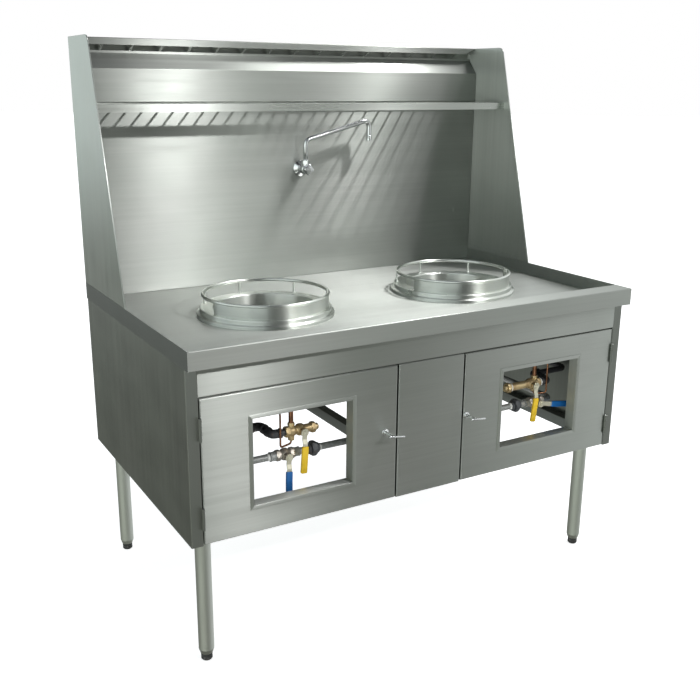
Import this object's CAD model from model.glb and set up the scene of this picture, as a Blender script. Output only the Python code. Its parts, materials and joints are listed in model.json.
"""Finishes, small fittings, stage, light and camera for a two-burner stainless wok range.

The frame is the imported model's: the origin on the floor under the middle of the range, +X to
the right, +Y to the rear, +Z up. Shapes are worked out in millimetres, and linked() turns them
into metres.
"""

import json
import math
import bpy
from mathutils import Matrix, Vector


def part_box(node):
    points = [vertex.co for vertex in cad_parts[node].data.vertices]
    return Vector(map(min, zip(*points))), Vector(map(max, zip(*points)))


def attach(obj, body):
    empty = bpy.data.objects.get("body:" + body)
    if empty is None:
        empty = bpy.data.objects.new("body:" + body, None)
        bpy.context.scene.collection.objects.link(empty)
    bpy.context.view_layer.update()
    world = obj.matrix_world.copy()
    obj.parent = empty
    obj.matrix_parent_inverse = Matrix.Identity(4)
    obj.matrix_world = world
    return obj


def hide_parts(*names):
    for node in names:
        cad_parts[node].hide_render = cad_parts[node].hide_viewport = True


bl_info = {
    "name": "Wok range dresser",
    "version": (1, 0, 0),
    "blender": (4, 5, 0),
    "location": "3D View > Sidebar > Wok range",
    "description": "Dresses a stainless wok range: steel, rings, burners, valves, tap and stage",
    "category": "Object",
}

import bpy
import bmesh
import numpy as np
from mathutils import Matrix, Vector

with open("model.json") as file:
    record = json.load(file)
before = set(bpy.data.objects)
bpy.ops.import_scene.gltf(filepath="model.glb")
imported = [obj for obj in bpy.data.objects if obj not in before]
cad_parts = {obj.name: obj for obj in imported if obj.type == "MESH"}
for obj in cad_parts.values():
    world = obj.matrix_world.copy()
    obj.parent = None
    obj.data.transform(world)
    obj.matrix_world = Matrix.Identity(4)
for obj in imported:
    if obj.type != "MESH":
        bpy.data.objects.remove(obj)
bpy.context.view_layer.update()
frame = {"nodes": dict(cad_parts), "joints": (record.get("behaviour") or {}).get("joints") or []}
MM = 0.001
TURN = 2 * math.pi
HANDS = {"left": -1, "right": 1}  # each side, and its direction along X
RIGHT, FRONT, REAR = (1, 0, 0), (0, -1, 0), (0, 1, 0)

MERGED_WITHIN = 2e-6  # metres: vertices this near are one
SLIVER = 1e-7  # metres: edges this short go
SHARP_FROM = math.radians(35)
REPEATED = 2e-3  # mm: points of a path this near are one
BURNER_RADIUS = 52  # mm, as are the rest
JET_RADIUS = 5
PIPE_RADIUS = 8.6
PIPE_BEHIND_FACE = 25  # from a valve's front to the axis of its pipe
TUBE_BOSS_AT = 18  # from a gas valve's inlet to its burner tubes


# ------------------------------------------------------------------ places, in mm
def box(node):
    """The lowest and the highest corner of a node's box."""
    low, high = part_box(node)
    return low / MM, high / MM


def middle(node):
    """Centre of a node's box."""
    low, high = box(node)
    return (low + high) / 2


def joint_place(name):
    """A point on a joint's axis."""
    return Vector(next(joint["pos_m"] for joint in frame["joints"] if joint["name"] == name)) / MM


def about_z(radius, angle):
    """The point on the floor at a radius and an angle about Z."""
    return np.array([radius * math.cos(angle), radius * math.sin(angle), 0.0])


# ------------------------------------------------------------------ surfaces as whole arrays
def surface(points, wrap=True):
    """A surface from a grid of points, as (vertices, quads).

    Corner (i, j) joins (i + 1, j), (i + 1, j + 1) and (i, j + 1). With wrap, the last column
    joins the first.
    """
    rows, columns = points.shape[:2]
    i, j = np.meshgrid(np.arange(rows - 1), np.arange(columns if wrap else columns - 1),
                       indexing="ij")
    here, beside = (i * columns).ravel(), ((j + 1) % columns).ravel()
    j = j.ravel()
    quads = [here + j, here + columns + j, here + columns + beside, here + beside]
    return points.reshape(-1, 3), np.stack(quads, axis=1)


def joined(*surfaces):
    """Several surfaces as one."""
    starts = np.cumsum([0] + [len(vertices) for vertices, _ in surfaces[:-1]])
    vertices = np.concatenate([vertices for vertices, _ in surfaces])
    faces = np.concatenate([faces + start for (_, faces), start in zip(surfaces, starts)])
    return vertices, faces


def moved(shape, offset, axis=None):
    """A surface turned so that its +Z lies along an axis, and then moved."""
    vertices, faces = shape
    if axis is not None:
        turn = Vector((0, 0, 1)).rotation_difference(Vector(axis)).to_matrix()
        vertices = vertices @ np.array(turn).T
    return vertices + np.array(offset), faces


def unit(vectors):
    """Rows of vectors, each at length 1."""
    return vectors / np.linalg.norm(vectors, axis=1, keepdims=True)


def rounded(points, radius, steps=5):
    """A polyline whose inner corners are replaced by arcs of the radius, as an array.

    Each corner's arc is the quadratic curve from a point before it to a point after it, both
    at the radius times the tangent of half the turn, or under half a side.
    """
    points = np.array(points, float)
    before, corner, after = points[:-2], points[1:-1], points[2:]
    to_before, to_after = before - corner, after - corner
    shorter = np.minimum(*(np.linalg.norm(side, axis=1, keepdims=True)
                           for side in (to_before, to_after)))
    to_before, to_after = unit(to_before), unit(to_after)
    opening = np.arccos(np.clip((to_before * to_after).sum(1, keepdims=True), -1, 1))
    wanted = np.broadcast_to(np.reshape(radius, (-1, 1)), opening.shape)
    cut = np.minimum(wanted / np.tan(np.maximum(opening, 1e-3) / 2), 0.49 * shorter)
    start, end = corner + to_before * cut, corner + to_after * cut
    t = np.linspace(0, 1, steps + 1).reshape(1, -1, 1)
    arcs = (1 - t) ** 2 * start[:, None] + 2 * t * (1 - t) * corner[:, None] + t**2 * end[:, None]
    return np.concatenate([points[:1], arcs.reshape(-1, points.shape[1]), points[-1:]])


def lathe(profile, around, bends=None, shape=None, arc=None):
    """A profile of (radius, height) turned about Z: radius * (cos a, sin a), height.

    bends, if given, are the radii that round the profile's inner corners. shape, if given, is
    a function of the angles and the radii that gives the radius. arc is the first and the last
    angle of a part turn.
    """
    profile = np.array(profile, float) if bends is None else rounded(profile, bends)
    angles = np.linspace(*(arc or (0.0, TURN)), around, endpoint=arc is not None)
    radius, height = profile[:, :1], profile[:, 1:]
    if shape is not None:
        radius = shape(angles, radius)
    height = np.broadcast_to(height, (len(profile), around))
    points = np.stack([radius * np.cos(angles), radius * np.sin(angles), height], axis=2)
    return surface(points, wrap=arc is None)


def on_axis(radius, height):
    """A lathe profile from arrays of radii and heights, closed on the axis at both ends."""
    return np.stack([np.r_[0, radius, 0], np.r_[height[0], height, height[-1]]], axis=1)


def hexagon(angles, radius):
    """The radius of a hexagon bar turned down to the profile: the smaller of the two.

    A hexagon's radius is its apothem over the cosine of the angle from the nearest flat.
    """
    half = math.pi / 6  # the angle that half a side takes up
    apothem = radius.max() * math.cos(half)
    return np.minimum(apothem / np.cos((angles + half) % (2 * half) - half), radius)


def hexagon_nut(start, length, radius):
    """A hexagon turned down at both ends by a chamfered outline."""
    flat, chamfer, end = radius * 0.88, 1.6, start + length
    return lathe([(0, start), (flat, start), (radius, start + chamfer), (radius, end - chamfer),
                  (flat, end), (0, end)], 72, shape=hexagon)


def circle_section(radius, count):
    """A round section as an array of (side, up) pairs."""
    angles = np.linspace(0, TURN, count, endpoint=False)
    return radius * np.stack([np.cos(angles), np.sin(angles)], axis=1)


def flat_section(width, thickness, power=4):
    """A flat section with round edges: a superellipse |x/a|^p + |y/b|^p = 1."""
    circle = circle_section(1, 32)
    return np.sign(circle) * np.abs(circle) ** (2 / power) * [width / 2, thickness / 2]


def swept(section, path, side, scale=1.0):
    """A section carried along a path: path + s * side + u * (side x tangent), all scaled.

    side is one fixed vector square to the path's plane, or nearly so. Each end is closed by a
    last ring shrunk to a point.
    """
    path = np.array(path, float)
    tangents = unit(np.gradient(path, axis=0))
    across = np.array(side, float)
    across = unit(across - (across * tangents).sum(1, keepdims=True) * tangents)
    up = np.cross(across, tangents)
    ends = np.r_[0, np.arange(len(path)), len(path) - 1]
    path, across, up = (rows[ends][:, None] for rows in (path, across, up))
    spread = section * np.r_[0, np.broadcast_to(scale, len(ends) - 2), 0][:, None, None]
    return surface(path + spread[..., :1] * across + spread[..., 1:] * up)


def domed(length, radius, between=0):
    """Places along a bar and the scale of its section there, for two domed ends."""
    a = np.linspace(0, math.pi / 2, 7)
    rise, swell = radius * (1 - np.cos(a)), np.sin(a)
    straight = np.linspace(radius, length - radius, between + 2)[1:-1]
    places = np.concatenate([rise, straight, length - rise[::-1]])
    return places, np.maximum(np.concatenate([swell, np.ones(between), swell[::-1]]), 1e-3)


# ------------------------------------------------------------------ objects
def linked(name, shape, material, outward=True):
    """An object at the origin, in metres, from a surface in mm, with its doubles merged."""
    vertices, faces = shape
    mesh = bpy.data.meshes.new(name)
    mesh.from_pydata((vertices * MM).tolist(), [], faces.tolist())
    build = bmesh.new()
    build.from_mesh(mesh)
    bmesh.ops.remove_doubles(build, verts=build.verts, dist=MERGED_WITHIN)
    if outward:
        bmesh.ops.dissolve_degenerate(build, edges=build.edges, dist=SLIVER)
        bmesh.ops.recalc_face_normals(build, faces=build.faces)
    build.to_mesh(mesh)
    build.free()
    mesh.materials.append(material)
    obj = bpy.data.objects.new(name, mesh)
    bpy.context.scene.collection.objects.link(obj)
    return obj


def piece(name, shape, material, body, replaces=()):
    """A finished object on a body: smooth, with its edges sharp by angle."""
    obj = linked(name, shape, material)
    obj.data.shade_smooth()
    obj.data.set_sharp_from_angle(angle=SHARP_FROM)
    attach(obj, body)
    if replaces:
        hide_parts(*replaces)


# ------------------------------------------------------------------ material nodes
class Nodes:
    """A node tree in the making, with a call for each kind of node that is used often."""

    def __init__(self, tree):
        self.tree = tree

    def node(self, kind, sockets=None, **props):
        """A node with its properties set, and each socket linked or given a constant."""
        made = self.tree.nodes.new(f"ShaderNode{kind}")
        for key, value in props.items():
            setattr(made, key, value)
        for key, value in (sockets or {}).items():
            self.put(made.inputs[key], value)
        return made

    def put(self, socket, value):
        """Link a socket to a socket, or give it a constant."""
        if isinstance(value, bpy.types.NodeSocket):
            self.tree.links.new(value, socket)
        else:
            socket.default_value = value

    def ranged(self, value, low, high, to_low=0.0, to_high=1.0):
        """A value stretched from one range to another, clamped."""
        return self.node("MapRange", {"Value": value, "From Min": low, "From Max": high,
                                      "To Min": to_low, "To Max": to_high}).outputs["Result"]

    def math(self, operation, a, b):
        """Arithmetic on two values."""
        return self.node("Math", {0: a, 1: b}, operation=operation).outputs["Value"]

    def vector(self, operation, a, b):
        """Arithmetic on two vectors."""
        return self.node("VectorMath", {0: a, 1: b}, operation=operation).outputs["Vector"]

    def length(self, vector):
        """The length of a vector."""
        return self.node("VectorMath", {0: vector}, operation="LENGTH").outputs["Value"]

    def parts(self, vector):
        """The three parts of a vector."""
        return self.node("SeparateXYZ", {0: vector}).outputs

    def mixed(self, amount, a, b):
        """Colour a where the amount is 0, b where it is 1."""
        a, b = (colour if isinstance(colour, bpy.types.NodeSocket) else (*colour, 1)
                for colour in (a, b))
        return self.node("Mix", {"Factor": amount, 6: a, 7: b}, data_type="RGBA").outputs[2]


class Shader(Nodes):
    """A material in the making."""

    def __init__(self, name, metallic, roughness, colour):
        self.material = bpy.data.materials.new(name)
        self.material.use_nodes = True
        super().__init__(self.material.node_tree)
        self.bsdf = self.tree.nodes["Principled BSDF"]
        self.set("Metallic", metallic)
        self.set("Roughness", roughness)
        self.set("Base Color", (*colour, 1))
        self.material.diffuse_color = (*colour, 1)
        self.place = self.node("TexCoord").outputs["Object"]

    def set(self, socket, value):
        """Link one of the shader's own sockets, or give it a constant."""
        self.put(self.bsdf.inputs[socket], value)

    def scaled(self, scale):
        """The place times a scale on each axis."""
        return self.node("Mapping", {"Vector": self.place, "Scale": scale},
                         vector_type="POINT").outputs["Vector"]

    def noise(self, scale=1.0, detail=3.0, roughness=0.5, at=None):
        """Noise from 0 to 1, at the place or at another vector."""
        return self.node("TexNoise", {"Vector": self.place if at is None else at, "Scale": scale,
                                      "Detail": detail, "Roughness": roughness}).outputs["Fac"]

    def bump(self, height, strength, distance):
        """Roughen the surface by a height."""
        made = self.node("Bump", {"Strength": strength, "Distance": distance, "Height": height})
        self.set("Normal", made.outputs["Normal"])

    def highlight(self, grain, stretch, nudge=(0, 0, 0)):
        """Stretch the shine across a grain: its tangent is the face's normal x the grain.

        The nudge keeps the tangent from vanishing on faces square to the grain.
        """
        turn = self.node("VectorTransform", {"Vector": grain}, vector_type="VECTOR",
                         convert_from="OBJECT", convert_to="WORLD")
        normal = self.node("NewGeometry").outputs["Normal"]
        tangent = self.vector("CROSS_PRODUCT", normal, turn.outputs["Vector"])
        self.set("Tangent", self.vector("ADD", tangent, nudge))
        self.set("Anisotropic", stretch)


def tinted(colour, gain):
    """A colour times a gain, or with each of its parts times its own."""
    return tuple(np.multiply(tuple(colour), gain).tolist())


GRAINS = {"x": (1, 0, 0), "y": (0, 1, 0), "z": (0, 0, 1)}


def brushed_steel(name, steel, grain, tone=1.0, rough=None, stretch=None):
    """Belt-ground stainless: streaks along the grain, and a shine stretched across it.

    Over the streaks lie clouds of handling, greasy smears and slow waves in the sheet. tone is
    the colour's gain. Where rough or stretch is None, the settings' value is used.
    """
    colour = tinted(steel.colour, tone)
    rough = steel.roughness if rough is None else rough
    s = Shader(name, 1.0, rough, colour)
    lengthwise = GRAINS[grain]
    scale = [1 / (steel.streak_length if g else steel.streak_width) for g in lengthwise]
    fine = s.noise(detail=4, roughness=0.65, at=s.scaled(scale))
    broad = s.noise(detail=3, roughness=0.6, at=s.scaled([v * 0.07 for v in scale]))
    streaks = s.math("MULTIPLY", s.math("ADD", fine, broad), 0.5)
    tint = s.mixed(s.ranged(streaks, 0.3, 0.7), tinted(colour, 0.88), tinted(colour, 1.08))
    cloud = s.ranged(s.noise(2.6, 4, 0.55), 0.35, 0.75, 0.0, 0.55)
    s.set("Base Color", s.mixed(cloud, tint, tinted(colour, (0.93, 0.98, 0.95))))
    smear = s.noise(1.7, 5, at=s.scaled((2.5, 3.5, 6.5)))
    grime = s.math("MULTIPLY", s.ranged(smear, 0.35, 0.7), steel.smudge)
    wear = s.math("MULTIPLY", s.math("SUBTRACT", broad, 0.5), 0.12)
    s.set("Roughness", s.math("ADD", s.math("ADD", grime, wear), rough))
    waves = s.noise(detail=2, at=s.scaled([2.2 if g else 4.5 for g in lengthwise]))
    relief = s.math("ADD", s.math("MULTIPLY", streaks, 0.02), s.math("MULTIPLY", waves, 1.2))
    s.bump(relief, 1.0, 0.001)
    s.highlight(lengthwise, steel.stretch if stretch is None else stretch, (0.02, 0.03, 0.04))
    return s.material


def turned_steel(name, steel, centre, tone):
    """Spun stainless: fine grooves round a centre, and a shine stretched across them.

    Grooves are noise on the distance from the centre and the height. The grain is Z x the
    place from the centre.
    """
    colour, rough = tinted(steel.colour, tone), 0.32
    s = Shader(name, 1.0, rough, colour)
    local = s.vector("SUBTRACT", s.place, tuple(centre * MM))
    reach = s.length(s.vector("MULTIPLY", local, (1, 1, 0)))
    place = s.node("CombineXYZ", {0: reach, 1: s.parts(local)[2]}).outputs[0]
    grooves = s.noise(900, 3, 0.6, place)
    stain = s.noise(9, 5, 0.6)
    tint = s.mixed(s.ranged(grooves, 0.3, 0.7), tinted(colour, 0.93), tinted(colour, 1.05))
    brown = tinted(colour, (0.95, 0.92, 0.85))
    s.set("Base Color", s.mixed(s.ranged(stain, 0.5, 0.8, 0.0, 0.5), tint, brown))
    s.set("Roughness", s.ranged(stain, 0.3, 0.75, rough - 0.05, rough + 0.12))
    s.bump(grooves, 0.12, 0.0002)
    s.highlight(s.vector("CROSS_PRODUCT", (0, 0, 1), local), 0.85 * steel.stretch)
    return s.material


def plated(name, colour, rough, metal=1.0):
    """Bright plating with faint clouds, water spots and a fine orange peel."""
    s = Shader(name, metal, rough, colour)
    clouds, spots = s.noise(28, 4), s.noise(360, 2, 0.4)
    dark, light = tinted(colour, 0.86), tinted(colour, 1.05)
    s.set("Base Color", s.mixed(s.ranged(clouds, 0.35, 0.7), dark, light))
    dull = s.ranged(clouds, 0.3, 0.7, rough, rough + 0.06)
    s.set("Roughness", s.math("ADD", dull, s.ranged(spots, 0.62, 0.72, 0.0, 0.15)))
    s.bump(s.noise(220, 2), 0.05, 0.0003)
    return s.material


def zinc_pipe(name, colour):
    """Hot-dip galvanised pipe: faint spangle cells, white bloom and dull patches."""
    s = Shader(name, 0.4, 0.42, colour)
    cells = s.node("TexVoronoi", {"Vector": s.place, "Scale": 190.0})
    grey = s.node("SeparateColor", {0: cells.outputs["Color"]}).outputs[0]
    tint = s.mixed(grey, tinted(colour, 0.82), tinted(colour, 1.15))
    bloom = s.noise(30, 5)
    white = (0.62, 0.63, 0.62)
    s.set("Base Color", s.mixed(s.ranged(bloom, 0.52, 0.75, 0.0, 0.6), tint, white))
    s.set("Roughness", s.ranged(bloom, 0.3, 0.7, 0.34, 0.62))
    s.bump(cells.outputs["Distance"], 0.08, 0.0003)
    return s.material


def wound_tape(name, colour):
    """White thread tape: overlapping turns as fine steps along the pipe, slightly soiled."""
    s = Shader(name, 0.0, 0.5, colour)
    turns = s.node("TexWave", {"Vector": s.place, "Scale": 150.0, "Distortion": 1.5},
                   wave_type="BANDS", bands_direction="X")
    soil = s.ranged(s.noise(200, 4), 0.5, 0.75, 0.0, 0.5)
    s.set("Base Color", s.mixed(soil, colour, (0.55, 0.52, 0.45)))
    s.bump(turns.outputs["Fac"], 0.3, 0.0004)
    return s.material


def studio_floor(name, colour):
    """Pale seamless floor with a barely visible mottle, glowing to white in the distance."""
    s = Shader(name, 0.0, 0.85, colour)
    mottle = s.noise(0.7, 4)
    s.set("Base Color", s.mixed(mottle, tinted(colour, 0.985), colour))
    s.set("Roughness", s.ranged(mottle, 0.3, 0.7, 0.8, 0.9))
    glow = s.mixed(s.ranged(s.length(s.place), 1.0, 5.0), (0.74, 0.74, 0.74), (1, 1, 1))
    s.set("Emission Color", glow)
    s.set("Emission Strength", 1.0)
    return s.material


# Patches and skin are a noise's scale, detail and roughness. Cover says over which part of the
# patches the stain comes in, and how far. Shine says the same of the roughness. Relief is the
# skin's strength and distance.
WEATHERED = {
    # cast skin, brown in the hollows, brighter where it is machined
    "brass": dict(metallic=0.75, rough=0.4, patches=(55, 4, 0.6), cover=(0.42, 0.7, 0, 0.6),
                  shine=(0.35, 0.7, 0.34, 0.58), skin=(420, 3, 0.6), relief=(0.25, 0.0004)),
    # drawn tube with heat-dulled brown patches
    "copper": dict(metallic=1.0, rough=0.28, patches=(34, 5, 0.6), cover=(0.42, 0.68),
                   shine=(0.35, 0.7, 0.2, 0.55), skin=(300, 2), relief=(0.1, 0.0003)),
    # thin satin paint over scale, with a little rust showing through; the scale dulls it
    "paint": dict(metallic=0.0, rough=0.42, patches=(42, 6, 0.7), cover=(0.60, 0.74, 0, 0.55),
                  shine=(0.3, 0.7, 0.30, 0.6), skin=(160, 5, 0.6), relief=(0.35, 0.0004),
                  skin_dulls=True),
    # sand-cast iron: coarse grain, soot in clouds, brown heat scale
    "iron": dict(metallic=0.25, rough=0.7, patches=(26, 5), cover=(0.4, 0.7),
                 shine=(0.3, 0.7, 0.55, 0.85), skin=(520, 4, 0.7), relief=(0.5, 0.0006)),
    # soft dipped vinyl with a slight sheen, fine grain and rubbed, greyed patches
    "vinyl": dict(metallic=0.0, rough=0.36, patches=(90, 4), cover=(0.5, 0.75, 0, 0.35),
                  shine=(0.3, 0.7, 0.28, 0.5), skin=(900, 2), relief=(0.15, 0.0002),
                  specular=0.45),
    # matt moulded rubber with dust in its grain
    "rubber": dict(metallic=0.0, rough=0.7, patches=(120, 5), cover=(0.5, 0.78, 0, 0.5),
                   shine=(0.3, 0.7, 0.6, 0.85), skin=(700, 3), relief=(0.3, 0.0003)),
}
RUST = (0.16, 0.07, 0.03)


def weathered(name, kind, colour, stain):
    """A colour with patches of a stain, which also dull it, over a fine skin."""
    look = {"skin_dulls": False, "specular": 0.5, **WEATHERED[kind]}
    s = Shader(name, look["metallic"], look["rough"], colour)
    patches, skin = s.noise(*look["patches"]), s.noise(*look["skin"])
    s.set("Base Color", s.mixed(s.ranged(patches, *look["cover"]), colour, stain))
    s.set("Roughness", s.ranged(skin if look["skin_dulls"] else patches, *look["shine"]))
    s.bump(skin, *look["relief"])
    s.set("Specular IOR Level", look["specular"])
    return s.material


# ------------------------------------------------------------------ settings
COLOUR = {"subtype": "COLOR", "size": 3, "min": 0, "max": 1}


class SteelSettings(bpy.types.PropertyGroup):
    """The brushed stainless of the panels."""

    colour: bpy.props.FloatVectorProperty(
        name="Colour", description="Reflectance of the steel", default=(0.50, 0.515, 0.488),
        **COLOUR)
    roughness: bpy.props.FloatProperty(
        name="Roughness", description="Width of the shine along the grain", subtype="FACTOR",
        min=0.05, max=1, default=0.35)
    stretch: bpy.props.FloatProperty(
        name="Stretch", description="How far the shine spreads across the grain",
        subtype="FACTOR", min=0, max=1, default=1.0)
    smudge: bpy.props.FloatProperty(
        name="Smudge", description="Extra roughness where hands and cloths have been",
        subtype="FACTOR", min=0, max=0.3, default=0.05)
    streak_length: bpy.props.FloatProperty(
        name="Streak length", description="Length of one brushed streak", unit="LENGTH",
        min=0.005, max=1, default=0.12)
    streak_width: bpy.props.FloatProperty(
        name="Streak width", description="Width of one brushed streak", unit="LENGTH",
        min=0.0001, max=0.01, default=0.0007)


class RingSettings(bpy.types.PropertyGroup):
    """The hob rings, wok rings and burners."""

    sheet: bpy.props.FloatProperty(
        name="Ring sheet", description="Thickness of the spun ring", unit="LENGTH",
        min=0.001, max=0.006, default=2.5 * MM)
    rod: bpy.props.FloatProperty(
        name="Rod", description="Diameter of the wok ring's rod", unit="LENGTH",
        min=0.003, max=0.015, default=8.5 * MM)
    foot_height: bpy.props.FloatProperty(
        name="Foot height", description="Height of the ring's outer step", unit="LENGTH",
        min=0.002, max=0.03, default=8 * MM)
    iron: bpy.props.FloatVectorProperty(
        name="Burner iron", description="Colour of the cast burner",
        default=(0.035, 0.033, 0.031), **COLOUR)


class FittingSettings(bpy.types.PropertyGroup):
    """Valves, sleeves, pipes, handles and tap."""

    brass: bpy.props.FloatVectorProperty(
        name="Brass", description="Colour of the gas valves", default=(0.76, 0.60, 0.34),
        **COLOUR)
    tarnish: bpy.props.FloatVectorProperty(
        name="Tarnish", description="Colour of old brass", default=(0.40, 0.25, 0.12), **COLOUR)
    copper: bpy.props.FloatVectorProperty(
        name="Copper", description="Colour of the burner tubes", default=(0.50, 0.24, 0.14),
        **COLOUR)
    zinc: bpy.props.FloatVectorProperty(
        name="Zinc", description="Colour of the galvanised pipe", default=(0.40, 0.41, 0.40),
        **COLOUR)
    black: bpy.props.FloatVectorProperty(
        name="Black pipe", description="Colour of the gas header",
        default=(0.055, 0.056, 0.06), **COLOUR)
    yellow: bpy.props.FloatVectorProperty(
        name="Yellow sleeve", description="Colour of the gas levers' sleeves",
        default=(0.86, 0.56, 0.015), **COLOUR)
    blue: bpy.props.FloatVectorProperty(
        name="Blue sleeve", description="Colour of the service levers' sleeves",
        default=(0.015, 0.17, 0.52), **COLOUR)
    chrome: bpy.props.FloatVectorProperty(
        name="Chrome", description="Colour of handles and tap", default=(0.86, 0.87, 0.88),
        **COLOUR)
    handle_tilt: bpy.props.FloatProperty(
        name="Handle tilt", description="How far the left door's handle hangs off level",
        subtype="ANGLE", default=math.radians(8))


class StageSettings(bpy.types.PropertyGroup):
    """Camera, lights and floor."""

    camera_place: bpy.props.FloatVectorProperty(
        name="Camera place", description="Where the camera stands", subtype="TRANSLATION",
        unit="LENGTH", size=3, default=(-1.2907, -2.1444, 1.3579))
    yaw: bpy.props.FloatProperty(
        name="Yaw", description="Turn of the camera from +Y towards +X", subtype="ANGLE",
        default=0.5324)
    pitch: bpy.props.FloatProperty(
        name="Pitch", description="How far the camera looks down", subtype="ANGLE",
        default=0.2847)
    roll: bpy.props.FloatProperty(
        name="Roll", description="Tilt of the camera's right side upward", subtype="ANGLE",
        default=0.009)
    lens: bpy.props.FloatProperty(
        name="Lens", description="Focal length on a 36 mm wide sensor", subtype="DISTANCE_CAMERA",
        min=10, max=200, default=47.17)
    floor_colour: bpy.props.FloatVectorProperty(
        name="Floor", description="Colour of the floor", default=(0.86, 0.86, 0.86), **COLOUR)
    key_power: bpy.props.FloatProperty(
        name="Key light", description="Power of the front light", unit="POWER", min=0,
        default=100.0)
    side_power: bpy.props.FloatProperty(
        name="Side light", description="Power of the high light on the right", unit="POWER",
        min=0, default=12.0)
    overhead_power: bpy.props.FloatProperty(
        name="Overhead light", description="Power of the wide light above", unit="POWER",
        min=0, default=60.0)


class WokRangeSettings(bpy.types.PropertyGroup):
    """Everything that a user may change."""

    steel: bpy.props.PointerProperty(type=SteelSettings, name="Steel")
    rings: bpy.props.PointerProperty(type=RingSettings, name="Rings")
    fittings: bpy.props.PointerProperty(type=FittingSettings, name="Fittings")
    stage: bpy.props.PointerProperty(type=StageSettings, name="Stage")


# ------------------------------------------------------------------ operators
# each panel steel's name, its grain, what differs from plain brushed steel, and its nodes
PANEL_STEELS = (
    ("steel_brushed_across", "x", {},
     ("front_apron", "centre_panel", "rear_panel", "left_door", "right_door")),
    ("steel_splash", "x", {"tone": 0.86}, ("splash_panel", "flue_fascia")),
    ("steel_flue_cap", "x", {"tone": 0.7}, ("flue_cap",)),
    ("steel_worn_worktop", "x", {"tone": 0.9, "rough": 0.42, "stretch": 0.85}, ("worktop",)),
    ("steel_side_panel", "z", {"tone": 0.68}, ("left_side_panel", "right_side_panel")),
    ("steel_mill_finish", "x", {"tone": 0.86, "rough": 0.36},
     ("welded_frame", "left_burner_well", "right_burner_well")),
    ("steel_polished_tube", "z", {"tone": 1.5, "rough": 0.36},
     ("leg_front_left", "leg_front_right", "leg_rear_left", "leg_rear_right")),
    ("steel_dull_hinge", "z", {"tone": 0.6, "rough": 0.4},
     ("hinge_posts", "left_door_hinges", "right_door_hinges")),
    ("steel_polished_rail", "x", {"tone": 1.15, "rough": 0.26}, ("shelf_front_rail",)),
    ("steel_brushed_deep", "y", {}, ("shelf_rods",)),
)


class WOK_OT_panels(bpy.types.Operator):
    """Give the folded panels, frame, tubes and pipes their finish, and build the wings"""

    bl_idname = "wok.panels"
    bl_label = "Finish the panels and tubes"

    def execute(self, context):
        settings = context.scene.wok_range
        steel, fittings = settings.steel, settings.fittings
        for name, grain, differs, nodes in PANEL_STEELS:
            self.dress(brushed_steel(name, steel, grain, **differs), nodes)
        self.dress(weathered("black_gas_pipe", "paint", fittings.black, RUST), ["gas_header"])
        self.dress(zinc_pipe("galvanised_pipe", fittings.zinc), ["tap_feed"])
        self.dress(weathered("copper_tube", "copper", fittings.copper,
                             tinted(fittings.copper, 0.34)),
                   ["left_burner_tubes", "right_burner_tubes"])
        upright = brushed_steel("steel_brushed_upright", steel, "z", tone=0.88)
        for hand, out in HANDS.items():
            self.wing(hand, out, upright)
        return {"FINISHED"}

    def dress(self, material, nodes):
        """Give CAD nodes one material."""
        for node in nodes:
            materials = frame["nodes"][node].data.materials
            materials.clear()
            materials.append(material)

    def wing(self, hand, out, steel):
        """A wing's sheet, the hem folded inside its edge, and the return at its rear.

        Rings of the surface are the outline drawn in by a depth: each point plus the depth
        times (the sum of its two sides' inward normals / (1 + their product)).
        """
        low, high = box(f"{hand}_wing")
        face_x = low.x if out < 0 else high.x
        foot_width, head_width, corner_radius = 362, 181, 26
        front = rounded([(high.y - foot_width, low.z), (high.y - head_width, high.z),
                         (high.y, high.z)], corner_radius, steps=12)
        outline = np.concatenate([[(high.y, low.z)], front])
        along = np.roll(outline, -1, 0) - outline
        normals = unit(np.stack([along[:, 1], -along[:, 0]], axis=1))
        earlier = np.roll(normals, 1, 0)
        mitres = (normals + earlier) / (1 + (normals * earlier).sum(1, keepdims=True))
        # how far in from the outer face, and the depth; a depth of None is the sheet's middle
        hem, sheet, edge = 12.0, 1.5, 0.5
        rings = [(0.0, None), (0.0, edge), (edge, 0.0), (2 * sheet - edge, 0.0),
                 (2 * sheet, edge), (2 * sheet, hem), (sheet, hem), (sheet, None)]
        centre = outline[[0, 1, -2, -1]].mean(0)
        rows = []
        for inward, depth in rings:
            flat = centre + 0 * outline if depth is None else outline + mitres * depth
            x = np.full((len(outline), 1), face_x - out * inward)
            rows.append(np.concatenate([x, flat], axis=1))
        return_width, return_middle = 20, face_x - out * (sheet + 10)
        across, deep = return_width / 2, sheet / 2
        section = np.array([(-across, -deep), (across, -deep), (across, deep), (-across, deep)])
        rear = high.y - deep
        back = swept(section, [(return_middle, rear, low.z), (return_middle, rear, high.z)], RIGHT)
        piece(f"{hand}_hemmed_wing", joined(surface(np.array(rows)), back), steel, "cabinet",
              [f"{hand}_wing"])


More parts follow.
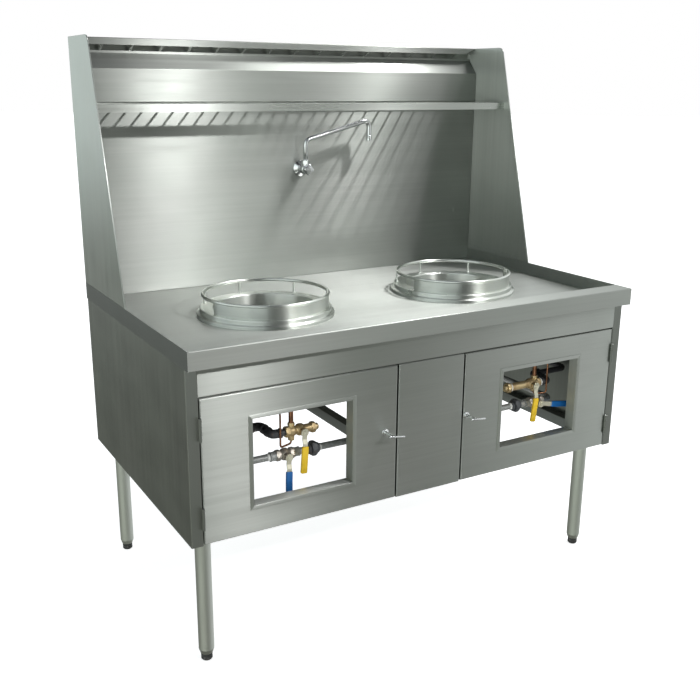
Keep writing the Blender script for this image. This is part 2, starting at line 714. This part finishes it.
class WOK_OT_rings(bpy.types.Operator):
    """Build the spun hob rings and the loose wok rings"""

    bl_idname = "wok.rings"
    bl_label = "Build the rings"

    def execute(self, context):
        settings = context.scene.wok_range
        for hand in HANDS:
            centre = middle(f"{hand}_hob_ring")
            finish = turned_steel(f"steel_spun_{hand}", settings.steel, centre, tone=1.75)
            self.hob_ring(hand, centre, settings.rings, finish)
            self.wok_ring(hand, centre, settings.rings, finish)
        return {"FINISHED"}

    def hob_ring(self, hand, centre, rings, finish):
        """A closed section turned round: foot, step, flat top, collar, and back inside."""
        low, high = box(f"{hand}_hob_ring")
        top_over_tray, step_in, collar_in = 22, 8, 44
        tray = box(f"{hand}_wok_ring")[0].z - top_over_tray
        foot = (high.x - low.x) / 2
        step, collar, shoulder = foot - step_in, foot - collar_in, tray + rings.foot_height / MM
        t = rings.sheet / MM
        outside = rounded(
            [(foot, tray), (foot, shoulder), (step, shoulder + t), (step, high.z),
             (collar, high.z), (collar, low.z)], [1.5, 2, 3, 4])
        inside = rounded(
            [(collar + t, low.z), (collar + t, high.z - t), (step - t, high.z - t),
             (step - t, tray + t), (foot - t, tray + t), (foot - t, tray)], [2, 1, 1, 1])
        profile = np.concatenate([outside, inside, outside[:1]])
        shape = moved(lathe(profile, 160), (centre.x, centre.y, 0))
        piece(f"{hand}_spun_hob_ring", shape, finish, "cabinet",
              [f"{hand}_hob_ring"])

    def wok_ring(self, hand, centre, rings, finish):
        """A rod circle, a front shield rolled over it and three posts behind."""
        low, high = box(f"{hand}_wok_ring")
        ring, sheet, half = 162, 1.5, math.radians(77)
        rod = rings.rod / MM / 2
        rod_z = high.z - rod
        circle = circle_section(rod, 20) + [ring, rod_z]
        torus = lathe(np.concatenate([circle, circle[:1]]), 180)
        inner, outer = ring + sheet / 2, ring + 1.5 * sheet
        shield_section = rounded(
            [(inner, low.z), (outer, low.z + 0.3), (outer, rod_z),
             (ring + sheet + 0.9, rod_z + rod * 0.6), (inner, rod_z), (inner, low.z)], 1)
        arc = (-TURN / 4 - half, -TURN / 4 + half)
        shield = lathe(shield_section, 120, arc=arc)
        ends = [self.closed_end(shield_section, angle) for angle in arc]
        post = lathe([(0, low.z), (4.6, low.z), (4.2, low.z + 1.6), (3, low.z + 3), (3, rod_z),
                      (0, rod_z)], 20, 0.8)
        posts = [moved(post, about_z(ring, math.radians(angle))) for angle in (36.4, 91.0, 145.6)]
        shape = moved(joined(torus, shield, *ends, *posts), (centre.x, centre.y, 0))
        piece(f"{hand}_rod_wok_ring", shape, finish, f"{hand}_wok_ring",
              [f"{hand}_wok_ring"])

    def closed_end(self, section, angle):
        """The flat end of an open lathe: the section shrunk on to its middle, at an angle."""
        rings = np.stack([section, np.broadcast_to(section.mean(0), section.shape)])
        points = np.concatenate([rings[..., :1] * about_z(1, angle)[:2], rings[..., 1:]], axis=2)
        return surface(points, wrap=False)


class WOK_OT_burners(bpy.types.Operator):
    """Build the cast jet burners in their wells"""

    bl_idname = "wok.burners"
    bl_label = "Build the jet burners"

    def execute(self, context):
        iron = weathered("burner_cast_iron", "iron", context.scene.wok_range.rings.iron,
                         (0.10, 0.065, 0.045))
        for hand, out in HANDS.items():
            low, high = box(f"{hand}_jet_burner")
            well = middle(f"{hand}_burner_well")
            floor = box(f"{hand}_burner_well")[0].z
            jets_height, inlet_height = 16, 28
            deck = high.z - jets_height
            shape = joined(self.head(low.z, deck), *self.jets(deck, high.z), *self.arms(floor),
                           self.inlet(out, low.z + inlet_height))
            piece(f"{hand}_cast_jet_burner", moved(shape, (well.x, well.y, 0)), iron,
                  "cabinet", [f"{hand}_jet_burner"])
        return {"FINISHED"}

    def head(self, foot, deck):
        """A profile turned round: stem, cone, rim and a shallow dish on top."""
        body, under = BURNER_RADIUS, deck - 30
        return lathe([(0, foot), (14, foot), (14, under - 14), (body, under), (body, deck),
                      (body - 22, deck), (body - 26, deck - 1.5), (0, deck)], 72,
                     [2, 8, 5, 4, 1, 1])

    def jets(self, deck, top):
        """Two circles of small turned nozzles, each with a blind bore."""
        jet = JET_RADIUS
        nozzle = rounded([(jet * 1.25, deck - 2), (jet * 1.1, deck + 3), (jet, top - 1),
                          (jet - 0.8, top), (jet * 0.4, top), (jet * 0.36, top - 5),
                          (0, top - 5)], 0.6, steps=2)
        circles = ((BURNER_RADIUS - 2 * jet, 10), (BURNER_RADIUS / 3, 4))
        return [moved(lathe(nozzle, 18), about_z(radius, angle)) for radius, count in circles
                for angle in np.arange(count) * TURN / count]

    def arms(self, floor):
        """Three flat arms from the stem to the well's floor, wider towards the middle."""
        reach, arms = np.linspace(10, 57, 12), []
        swell = 1 + 0.12 * np.cos(np.linspace(0, math.pi, 12))
        for angle in np.arange(3) * TURN / 3:
            ray = about_z(1, angle)
            path = ray * reach[:, None] + [0, 0, floor + 5.5]
            arms.append(swept(flat_section(14, 7), path, (-ray[1], ray[0], 0), swell))
        return arms

    def inlet(self, out, height):
        """A hexagon nut on the stem, towards the gas valve."""
        nut = [(0, 4), (7.8, 4), (9, 10), (9, 24), (7.8, 26), (0, 26)]
        return moved(lathe(nut, 72, 0.5, hexagon), (0, 0, height), (out, 0, 0))


class WOK_OT_valves(bpy.types.Operator):
    """Build the gas and service valves with their levers and sleeves"""

    bl_idname = "wok.valves"
    bl_label = "Build the valves"

    def execute(self, context):
        fittings = context.scene.wok_range.fittings
        brass = weathered("valve_cast_brass", "brass", fittings.brass, fittings.tarnish)
        nickel = weathered("valve_dull_nickel", "brass", (0.66, 0.61, 0.54), (0.42, 0.36, 0.29))
        steel = plated("lever_zinc_steel", (0.76, 0.73, 0.58), 0.4, metal=0.5)
        yellow, blue = (weathered(f"sleeve_{name}_vinyl", "vinyl", colour, tinted(colour, 0.62))
                        for name, colour in (("yellow", fittings.yellow),
                                             ("blue", fittings.blue)))
        for hand in HANDS:
            self.valve(hand, "gas", brass)
            self.lever(hand, "gas", steel, yellow, "yellow_sleeve", bend=0)
            self.valve(hand, "service", nickel)
            self.lever(hand, "service", steel, blue, "blue_sleeve", bend=13)
        return {"FINISHED"}

    def valve(self, hand, kind, metal):
        """Turned body along X, with hexagon ends, and a bonnet to the front.

        The body's radius is a neck plus bell curves at the spindle and at the tube bosses,
        and a thin casting seam above and below.
        """
        low, high = box(f"{hand}_{kind}_valve")
        pin = joint_place(f"{hand}_{kind}_lever_turn")
        gas = kind == "gas"
        run = -1 if gas and hand == "right" else 1
        inlet = low.x if run > 0 else high.x
        length, spindle = high.x - low.x, abs(pin.x - inlet)
        plug, neck, at_spindle, at_boss = 9, 10.8, 4.6, 2.6
        last = length - plug if gas else length
        t = np.linspace(2, last - 2, 60)
        radius = neck + at_spindle * np.exp(-(((t - spindle) / 8.5) ** 4))
        if gas:
            radius += at_boss * np.exp(-(((t - TUBE_BOSS_AT) / 9) ** 4))
        end = 12
        parts = [lathe(on_axis(radius, t), 48, shape=self.seam), hexagon_nut(0, end, 14.5),
                 hexagon_nut(last - end, end, 14.5)]
        if gas:
            parts.append(lathe([(0, last - 1), (8.5, last - 1), (8.5, length - 1.5), (7, length),
                                (0, length)], 36, 0.8))
        pipe, out = low.y + PIPE_BEHIND_FACE, PIPE_BEHIND_FACE
        body = moved(joined(*parts), (inlet, pipe, pin.z), (run, 0, 0))
        bonnet = lathe([(0, 0), (12, 0), (12, 11), (9, 14), (9, out - 1), (8, out - 0.4),
                        (0, out - 0.4)], 48, 1)
        gland = hexagon_nut(out - 6, 5.6, 11.5)
        shapes = [body, moved(joined(bonnet, gland), (pin.x, pipe, pin.z), FRONT)]
        if gas:
            shapes += self.tube_nuts((inlet + run * TUBE_BOSS_AT, pipe, pin.z))
        piece(f"{hand}_{kind}_ball_valve", joined(*shapes), metal, "cabinet",
              [f"{hand}_{kind}_valve"])

    def seam(self, angles, radius):
        """A turned radius with a casting seam raised above and below, at angles 0 and pi."""
        return radius + 0.5 * np.exp(-((np.sin(angles) / 0.07) ** 2)) * (radius > 1e-3)

    def tube_nuts(self, place):
        """A boss above and below the pipe, each with the nut that holds a burner tube."""
        boss = lathe([(0, 0), (8, 0), (8, 14), (0, 14)], 36)
        boss = joined(boss, hexagon_nut(13.5, 9, 9))
        return [moved(boss, place, (0, 0, up)) for up in (-1, 1)]

    def lever(self, hand, kind, steel, vinyl, slot, bend):
        """A flat bar carried along a cranked line, its nut and spindle, and its sleeve.

        The bar hangs the way that its sleeve lies from the spindle. Its end bends out by the
        bend times (the length in the sleeve / the sleeve) to the 1.4.
        """
        pin = joint_place(f"{hand}_{kind}_lever_turn")
        start = Vector((pin.x, box(f"{hand}_{kind}_valve")[0].y, pin.z))
        reach = middle(f"{hand}_{kind}_grip") - pin
        down = Vector((reach.x, 0, reach.z)).normalized()
        side = down.cross(Vector(FRONT))
        crank, sleeve_start, sleeve_length = 9, 33, 70

        def line(out, along):
            """Points at distances out of the valve's face and along the lever."""
            return np.array(start) + np.outer(out, FRONT) + np.outer(along, down)

        def out_at(along):
            """How far out the sleeve's middle is, at a length along the lever."""
            return crank + bend * np.clip((along - sleeve_start) / sleeve_length, 0, 1) ** 1.4

        along = np.array([-9, 16, 28, 45, 60, 80, 98])
        bar = rounded(line(np.r_[3, 3, out_at(along[2:])], along), 8)
        bar = bar[np.r_[True, np.linalg.norm(np.diff(bar, axis=0), axis=1) > REPEATED]]
        head = lathe([(0, 1.5), (10, 1.5), (10, 4.5), (0, 4.5)], 40, 0.5)
        nut = lathe([(0, 4), (6, 4), (6.8, 4.8), (6.8, 7), (6, 7.5), (0, 7.5)], 72,
                    shape=hexagon)
        spindle = lathe([(0, -11), (4, -11), (4, 8), (3.4, 8.6), (0, 8.6)], 32)
        turned = moved(joined(head, nut, spindle), start, FRONT)
        flat = swept(flat_section(13, 3, 8), bar, side)
        body = f"{hand}_{kind}_lever"
        piece(f"{body}_bar", joined(flat, turned), steel, body, [body])
        places, scales = domed(sleeve_length, 3, between=12)
        path = line(out_at(sleeve_start + places), sleeve_start + places)
        sleeve = swept(flat_section(17, 8, 5), path, side, 0.62 + 0.38 * scales)
        piece(f"{hand}_{kind}_sleeve", sleeve, vinyl, body, [f"{hand}_{kind}_grip"])


class WOK_OT_pipes(bpy.types.Operator):
    """Build the service pipe with its sockets, unions and taped joints, and the elbows"""

    bl_idname = "wok.pipes"
    bl_label = "Build the pipes and fittings"

    def execute(self, context):
        fittings = context.scene.wok_range.fittings
        union_iron = (0.075, 0.08, 0.088)
        unions = [middle("left_window_frame").x + 76.5, middle("right_window_frame").x + 3.5]
        self.service_run(zinc_pipe("service_pipe_zinc", fittings.zinc))
        self.unions(weathered("union_malleable_iron", "paint", union_iron, RUST), unions)
        self.elbows(weathered("elbow_black_iron", "paint", fittings.black, RUST))
        self.tape_turns(wound_tape("thread_tape", (0.80, 0.80, 0.77)), unions)
        return {"FINISHED"}

    def on_pipe(self, shape, x):
        """A turned shape laid on the service pipe, with its start at an x."""
        pipe = middle("service_pipe")
        return moved(shape, (x, pipe.y, pipe.z), RIGHT)

    def service_run(self, zinc):
        """Two lengths of pipe, and a beaded socket wherever the pipe meets a valve.

        Outlines are (radius, share of the length).
        """
        left, right = box("left_service_valve"), box("right_service_valve")
        r, bead, waist, socket_length = PIPE_RADIUS, 12.2, 11.5, 16
        pipe = [(0, 0), (r, 0), (r, 1), (0, 1)]
        socket = [(r, 0), (10.6, 0.01), (bead, 0.06), (bead, 0.2), (waist, 0.26), (waist, 0.74),
                  (bead, 0.8), (bead, 0.94), (10.6, 0.99), (r, 1)]
        spans = [(box("service_pipe")[0].x, left[0].x, pipe), (left[1].x, right[0].x, pipe)]
        for end, out in ((left[0].x, -1), (left[1].x, 1), (right[0].x, -1)):
            spans.append((*sorted((end, end + out * socket_length)), socket))
        runs = [self.on_pipe(lathe(np.array(outline) * [1, end - start], 40), start)
                for start, end, outline in spans]
        piece("service_pipe_run", joined(*runs), zinc, "cabinet",
              ["service_pipe"])

    def unions(self, iron, places):
        """A lipped body and a big hexagon nut at each place."""
        body = lathe([(PIPE_RADIUS, -15), (12.5, -15), (14, -12), (12.5, -9), (12.5, 9), (14, 12),
                      (12.5, 15), (PIPE_RADIUS, 15)], 48, 1.2)
        nut = lathe([(0, -7), (17, -7), (20, -5), (20, 4), (18, 7), (0, 7)], 96, shape=hexagon)
        shapes = [self.on_pipe(joined(body, nut), x) for x in places]
        piece("service_unions", joined(*shapes), iron, "cabinet")

    def elbows(self, black):
        """Four elbows of the gas header: a tube round a corner, beaded at both ends."""
        shapes = []
        z, arm, bead, beyond_valve, run_back = middle("gas_header").z, 27, 7, 34, 66
        for hand, out in HANDS.items():
            low, high = box(f"{hand}_gas_valve")
            corner_x = (low.x if out < 0 else high.x) + out * beyond_valve
            front, rear = low.y + PIPE_BEHIND_FACE, low.y + PIPE_BEHIND_FACE + run_back
            for y, ends in ((front, ((-out, 0, 0), REAR)), (rear, (FRONT, (out, 0, 0)))):
                here = np.array([corner_x, y, z])
                first, last = (here + np.array(end) * arm for end in ends)
                path = rounded([first, here, last], 14, steps=10)
                path = np.concatenate([np.linspace(first, path[1], 7)[:-1], path[1:-1],
                                       np.linspace(path[-2], last, 7)[1:]])
                along = np.cumsum(np.r_[0, np.linalg.norm(np.diff(path, axis=0), axis=1)])
                beaded = np.minimum(along, along[-1] - along) < bead
                radius = 11.2 + 1.5 * beaded
                radius[[0, -1]] = 9
                shapes.append(swept(circle_section(1, 32), path, (0, 0, 1), radius))
        piece("gas_header_elbows", joined(*shapes), black, "cabinet")

    def tape_turns(self, tape, unions):
        """Short bands of white tape where threads go into sockets and unions."""
        band = lathe([(8.5, -3.4), (9.5, -3), (9.2, 0), (9.6, 3), (8.5, 3.5)], 36, 0.5)
        places = (box("left_service_valve")[0].x - 19.5, unions[0] + 18, unions[1] - 18.5)
        shapes = [self.on_pipe(band, x) for x in places]
        band = lathe([(8.5, -2.4), (11.6, -2.2), (11.9, 2), (8.5, 2.4)], 36, 0.5)
        low, high = box("right_gas_valve")
        y, z = low.y + PIPE_BEHIND_FACE, middle("gas_header").z
        shapes += [moved(band, (x, y, z), RIGHT) for x in (low.x + 23, high.x + 2.6)]
        piece("thread_tape_turns", joined(*shapes), tape, "cabinet")


class WOK_OT_tap(bpy.types.Operator):
    """Build the wall tap: body, swivel spout and knob"""

    bl_idname = "wok.tap"
    bl_label = "Build the tap"

    def execute(self, context):
        chrome = plated("tap_chrome_plate", context.scene.wok_range.fittings.chrome, 0.09)
        hub, riser = joint_place("tap_knob_turn"), joint_place("tap_swivel")
        top = box("tap_body")[1].z
        self.body(chrome, hub, riser, top)
        self.spout(chrome, riser, top)
        self.knob(chrome, hub)
        return {"FINISHED"}

    def body(self, chrome, hub, riser, top):
        """A turned body from the wall, with a riser boss and the spout's hexagon nut."""
        wall = box("splash_panel")[0].y
        reach = wall - riser.y
        body = lathe(
            [(0, 0), (24, 0), (24, 2), (13, 8), (11.5, 12), (14, 13), (15.5, reach - 8),
             (15.5, reach + 6), (13.4, reach + 8), (13.4, reach + 10), (12, reach + 11),
             (12, reach + 13.6), (0, reach + 13.6)], 72, [1, 1, 5, 1, 1, 3, 2, 1, 1, 1, 1])
        body = moved(body, (hub.x, wall, hub.z), FRONT)
        foot, bore, lip = top - 14, 6.1, top - 0.4
        boss = lathe([(0, hub.z), (12.4, hub.z), (12.4, foot), (0, foot)], 48)
        nut = lathe([(0, foot), (11.6, foot), (13, foot + 1.2), (13, top - 3), (11, top - 1.4),
                     (8, lip), (bore, lip), (bore, foot), (0, foot)], 72, 0.5, hexagon)
        shape = joined(body, moved(joined(boss, nut), (riser.x, riser.y, 0)))
        piece("tap_turned_body", shape, chrome, "cabinet", ["tap_body"])

    def spout(self, chrome, riser, nut_top):
        """A round tube carried up, out and down, then a beaded nozzle with an open bore.

        Inside the nut the tube is slim, and above it the radius is 1.22 times that.
        """
        low, high = box("tap_spout")
        end, knee, peak, slim, bend = high.x - 8, low.z + 77, low.z + 134, 6, 21
        path = rounded([(riser.x, riser.y, low.z), (riser.x, riser.y, knee),
                        (end, riser.y, peak), (end, riser.y, high.z - 52)], bend, steps=14)
        neck = [(riser.x, riser.y, nut_top + rise) for rise in (1, 3)]
        path = np.concatenate([path[:1], neck, path[1:]])
        swell = np.full(len(path), 1.22)
        swell[:2] = 1.0
        tube = swept(circle_section(slim, 28), path, REAR, swell)
        foot = high.z - 63.4
        outline = np.array([(7.3, 16), (8.2, 15), (9, 13.5), (9, 10), (8.2, 9), (9, 8), (9, 1),
                            (7.4, 0), (4.9, 0), (4.8, 9), (0, 9)])
        nozzle = moved(lathe(outline, 48, 0.6), (end, riser.y, foot))
        piece("tap_tube_spout", joined(tube, nozzle), chrome, "tap_spout",
              ["tap_spout"])

    def knob(self, chrome, hub):
        """A turned knob whose radius swells four times round: R * (0.87 + 0.13 cos 4a)."""
        back = box("tap_knob")[1].y - 11

        def lobed(angles, radius):
            return radius * (0.87 + 0.13 * np.cos(4 * angles + math.pi * 0.15))

        rim = lathe([(0, 0), (15, 0), (17, 2), (17, 9), (14, 12), (0, 12.6)], 96, [1, 2, 3, 3],
                    lobed)
        cap = lathe([(7.5, 12), (7.2, 14), (0, 14.4)], 40, 1)
        spindle = lathe([(0, -11), (4, -11), (4, 1), (0, 1)], 28)
        shape = moved(joined(rim, cap, spindle), (hub.x, back, hub.z), FRONT)
        piece("tap_lobed_knob", shape, chrome, "tap_knob", ["tap_knob"])


class WOK_OT_doors(bpy.types.Operator):
    """Build the mitred window trims and the handles of the doors"""

    bl_idname = "wok.doors"
    bl_label = "Build the window trims and handles"

    def execute(self, context):
        settings = context.scene.wok_range
        rails = brushed_steel("steel_trim_across", settings.steel, "x", tone=1.06)
        stiles = brushed_steel("steel_trim_upright", settings.steel, "z", tone=1.06)
        chrome = plated("handle_chrome_bar", settings.fittings.chrome, 0.16)
        tilt = settings.fittings.handle_tilt
        for hand, lean in (("left", tilt), ("right", tilt / 2)):
            self.trim(hand, rails, stiles)
            self.handle(hand, chrome, lean)
        return {"FINISHED"}

    def trim(self, hand, rails, stiles):
        """Four mitred strips: a profile of (outward, forward) set off from the opening."""
        low, high = box(f"{hand}_window_frame")
        face = box(f"{hand}_door")[0].y
        width, sheet, depth = 10, 1.5, high.y - face
        half_x, half_z = (high.x - low.x) / 2 - width, (high.z - low.z) / 2 - width
        outward, forward = rounded(
            [(0, -depth), (0, sheet), (width, sheet), (width, 0), (sheet, 0), (sheet, -depth)],
            [0.6, 0.7, 0.1, 0.1], steps=3).T
        ends = np.array([[-1.0], [1.0]])

        def strip(x, z):
            """One strip, from its x and z about the opening's middle."""
            centre = (low + high) / 2
            x, y, z = np.broadcast_arrays(centre.x + x, face - forward, centre.z + z)
            return self.capped(surface(np.stack([x, y, z], axis=2)))

        across, upright = half_x + outward, half_z + outward
        body, slot = f"{hand}_door", "panel_steel"
        piece(f"{hand}_window_trim_rails",
              joined(*(strip(ends * across, side * upright) for side in (-1, 1))),
              rails, body, [f"{hand}_window_frame"])
        piece(f"{hand}_window_trim_stiles",
              joined(*(strip(side * across, ends * upright) for side in (-1, 1))),
              stiles, body)

    def capped(self, strip):
        """A strip with a fan of faces over each mitred end."""
        vertices, faces = strip
        count = len(vertices) // 2
        middles = vertices.reshape(2, count, 3).mean(1)
        i = np.arange(count)
        fans = []
        for end in (0, 1):
            apex = np.full(count, 2 * count + end)
            fans.append(np.stack([i + end * count, (i + 1) % count + end * count, apex, apex],
                                 axis=1))
        return np.concatenate([vertices, middles]), np.concatenate([faces, *fans])

    def handle(self, hand, chrome, lean):
        """A bar with domed ends on a stem, its rose, and the cam behind the door."""
        low, high = box(f"{hand}_door_handle")
        hub = joint_place(f"{hand}_handle_turn")
        face = box(f"{hand}_door")[0].y
        radius, length, short_end = 3, 46, 13
        grip_y = low.y + radius
        ray = (math.cos(lean), 0, -math.sin(lean))
        places, scales = domed(length, radius)
        path = np.array([hub.x, grip_y, hub.z]) + np.outer(places - short_end, ray)
        bar = swept(circle_section(radius, 24), path, REAR, scales)
        out, back = grip_y - face, high.y - face
        stem = lathe(
            [(0, out + 0.5), (3.2, out), (4, out + 6), (4, -6), (5.2, -2.4), (8.4, -2), (9, -1),
             (9, 0), (4, 0), (4, back), (0, back)], 40, [1, 3, 2, 1, 0.6, 0.6, 0.1, 0.1, 0.1])
        stem = moved(stem, (hub.x, face, hub.z), REAR)
        along = np.linspace(-1, 1, 12)
        width, sheet, over_hub = 14, 3, 7
        drop = np.outer(np.linspace(0, hub.z + over_hub - low.z - 0.1, 12), (0, 0, -1))
        head = [hub.x, high.y - sheet / 2, hub.z + over_hub]
        round_off = np.sqrt(np.clip(1 - along**6, 0.05, 1))
        cam = swept(flat_section(width, sheet, 8), head + drop, RIGHT, round_off)
        piece(f"{hand}_bar_handle", joined(bar, stem, cam), chrome, f"{hand}_handle",
              [f"{hand}_door_handle"])


class WOK_OT_feet(bpy.types.Operator):
    """Build the levelling feet and their threaded stems"""

    bl_idname = "wok.feet"
    bl_label = "Build the feet"

    def execute(self, context):
        rubber = weathered("foot_black_rubber", "rubber", (0.025, 0.025, 0.024),
                           (0.22, 0.21, 0.20))
        stem = plated("foot_zinc_stem", (0.55, 0.55, 0.52), 0.3)
        for corner in ("front_left", "front_right", "rear_left", "rear_right"):
            self.foot(f"foot_{corner}", rubber, stem)
        return {"FINISHED"}

    def foot(self, node, rubber, metal):
        """A turned pad with a rounded tread, and a stem whose radius ripples with its thread."""
        centre, top, pitch = middle(node), box(node)[1].z, 2
        place = (centre.x, centre.y, 0)
        pad = lathe([(0, 0), (11, 0), (14, 3), (14, 8), (13, 10), (14, 12), (14, 16), (11, 19),
                     (0, 19)], 48, [1, 2, 1, 1, 1, 1, 1])
        piece(f"{node}_pad", moved(pad, place), rubber, node, [node])
        z = np.linspace(18, top, 241)
        thread = 7.6 + 0.4 * np.cos(z / pitch * TURN)
        stem = lathe(on_axis(thread, z), 28)
        piece(f"{node}_stem", moved(stem, place), metal, node)


# The room that the steel reflects, as stops of (a part of the direction, colour). The front
# and the rear room run from straight down, -1, to straight up, 1. SIDEWAYS runs from the far
# left, -1, to the far right, 1, and multiplies the front room. BEHIND and AT_RIGHT are the
# parts along Y and X over which the rear room and the right wall come in.
FRONT_ROOM = ((-1.0, (0.16, 0.16, 0.14)), (1.0, (0.10, 0.10, 0.11)), (-0.4, (0.22, 0.225, 0.20)),
              (0.0, (0.42, 0.44, 0.42)), (0.45, (0.30, 0.32, 0.32)), (0.7, (0.12, 0.12, 0.13)))
SIDEWAYS = ((-1.0, (3.2, 3.3, 3.3)), (1.0, (1, 1, 1)), (-0.42, (3.2, 3.3, 3.3)),
            (-0.30, (0.4, 0.4, 0.4)), (0.04, (0.4, 0.4, 0.4)), (0.2, (1, 1, 1)))
REAR_ROOM = ((-1.0, (0.10, 0.10, 0.09)), (1.0, (0.15, 0.16, 0.18)), (-0.35, (0.13, 0.135, 0.125)),
             (-0.17, (0.28, 0.30, 0.29)), (-0.06, (1.15, 1.27, 1.28)), (0.3, (1.2, 1.32, 1.34)),
             (0.6, (0.25, 0.27, 0.28)))
RIGHT_WALL = (0.80, 0.83, 0.82)
BEHIND, AT_RIGHT = (-0.3, 0.3), (0.53, 0.70)


class WOK_OT_stage(bpy.types.Operator):
    """Lay the floor, hang the lights and set up the camera"""

    bl_idname = "wok.stage"
    bl_label = "Set the stage"

    def execute(self, context):
        stage = context.scene.wok_range.stage
        self.floor(stage)
        self.world(context.scene)
        self.lights(stage)
        self.camera(context.scene, stage)
        return {"FINISHED"}

    def floor(self, stage):
        """A flat ring of quads out to 40 m, with its middle closed: radius * (cos, sin), 0."""
        radius = np.array([0, 1, 3, 8, 18, 40]) / MM
        shape = lathe(np.stack([radius, 0 * radius], axis=1), 64)
        floor = linked("studio_floor", shape, studio_floor("pale_floor", stage.floor_colour),
                       outward=False)
        floor.visible_glossy = False

    def world(self, scene):
        """Seen directly the studio is white. The steel sees a room instead.

        In front of the range the room is dim, light at the far left and darkest just left of
        the middle. Behind it, it is pale and cool at the horizon and dark towards the floor.
        At the right it ends in a pale wall.
        """
        scene.world = bpy.data.worlds.new("studio")
        scene.world.use_nodes = True
        tree = scene.world.node_tree
        tree.nodes.clear()
        n = Nodes(tree)
        x, y, z = n.parts(n.node("TexCoord").outputs["Generated"])
        front = n.vector("MULTIPLY", self.ramp(n, z, FRONT_ROOM), self.ramp(n, x, SIDEWAYS))
        room = n.mixed(n.ranged(y, *BEHIND), front, self.ramp(n, z, REAR_ROOM))
        room = n.mixed(n.ranged(x, *AT_RIGHT), room, RIGHT_WALL)
        reflected = n.node("Background", {"Color": room})
        seen = n.node("Background", {"Color": (1, 1, 1, 1)})
        mix = n.node("MixShader", {0: n.node("LightPath").outputs["Is Camera Ray"],
                                   1: reflected.outputs[0], 2: seen.outputs[0]})
        n.node("OutputWorld", {"Surface": mix.outputs[0]})

    def ramp(self, nodes, part, stops):
        """Colours by one part of a direction, from -1 to 1."""
        made = nodes.node("ValToRGB", {"Fac": nodes.ranged(part, -1.0, 1.0)})
        elements = made.color_ramp.elements
        for element, (at, colour) in zip(elements, stops):
            element.position, element.color = (at + 1) / 2, (*colour, 1)
        for at, colour in stops[2:]:
            elements.new((at + 1) / 2).color = (*colour, 1)
        return made.outputs["Color"]

    def lights(self, stage):
        """Each light aims at a point on the range; sizes keep the rods' shadows legible."""
        self.lamp("key", (2.08, -5.8, 4.1), (0, 0, 0.9), 0.3, stage.key_power)
        self.lamp("side", (1.24, -0.25, 2.72), (0.2, 0.3, 1.0), 0.1, stage.side_power)
        self.lamp("overhead", (1.9, -0.5, 4.4), (0, 0, 0.8), 1.3, stage.overhead_power)

    def lamp(self, name, place, aim, size, power):
        """A disc light at a place, turned to its aim."""
        data = bpy.data.lights.new(name, "AREA")
        data.shape = "DISK"
        data.size = size
        data.energy = power
        lamp = bpy.data.objects.new(name, data)
        lamp.location = place
        lamp.rotation_euler = (Vector(aim) - Vector(place)).to_track_quat("-Z", "Y").to_euler()
        bpy.context.scene.collection.objects.link(lamp)

    def camera(self, scene, stage):
        """The camera at its place, turned by its yaw, pitch and roll."""
        data = bpy.data.cameras.new("camera")
        data.sensor_width = 36.0
        data.lens = stage.lens
        data.clip_end = 200.0
        camera = bpy.data.objects.new("camera", data)
        camera.matrix_world = (
            Matrix.Translation(stage.camera_place) @ Matrix.Rotation(-stage.yaw, 4, "Z")
            @ Matrix.Rotation(math.pi / 2 - stage.pitch, 4, "X")
            @ Matrix.Rotation(stage.roll, 4, "Z"))
        scene.collection.objects.link(camera)
        scene.camera = camera
        scene.view_settings.view_transform = "Standard"


class WOK_PT_sidebar(bpy.types.Panel):
    """Lists the operators and their settings"""

    bl_label = "Wok range"
    bl_idname = "WOK_PT_sidebar"
    bl_space_type = "VIEW_3D"
    bl_region_type = "UI"
    bl_category = "Wok range"

    def draw(self, context):
        settings = context.scene.wok_range
        for operator in OPERATORS:
            self.layout.operator(operator.bl_idname)
        for group in (settings.steel, settings.rings, settings.fittings, settings.stage):
            column = self.layout.box()
            for name in group.__annotations__:
                column.prop(group, name)


SETTINGS = (SteelSettings, RingSettings, FittingSettings, StageSettings, WokRangeSettings)
OPERATORS = (WOK_OT_panels, WOK_OT_rings, WOK_OT_burners, WOK_OT_valves, WOK_OT_pipes, WOK_OT_tap,
             WOK_OT_doors, WOK_OT_feet, WOK_OT_stage)


def register():
    for cls in (*SETTINGS, *OPERATORS, WOK_PT_sidebar):
        bpy.utils.register_class(cls)
    bpy.types.Scene.wok_range = bpy.props.PointerProperty(type=WokRangeSettings)


def unregister():
    del bpy.types.Scene.wok_range
    for cls in reversed((*SETTINGS, *OPERATORS, WOK_PT_sidebar)):
        bpy.utils.unregister_class(cls)


def main():
    register()
    bpy.ops.wok.panels()
    bpy.ops.wok.rings()
    bpy.ops.wok.burners()
    bpy.ops.wok.valves()
    bpy.ops.wok.pipes()
    bpy.ops.wok.tap()
    bpy.ops.wok.doors()
    bpy.ops.wok.feet()
    bpy.ops.wok.stage()


if __name__ == "__main__":
    main()
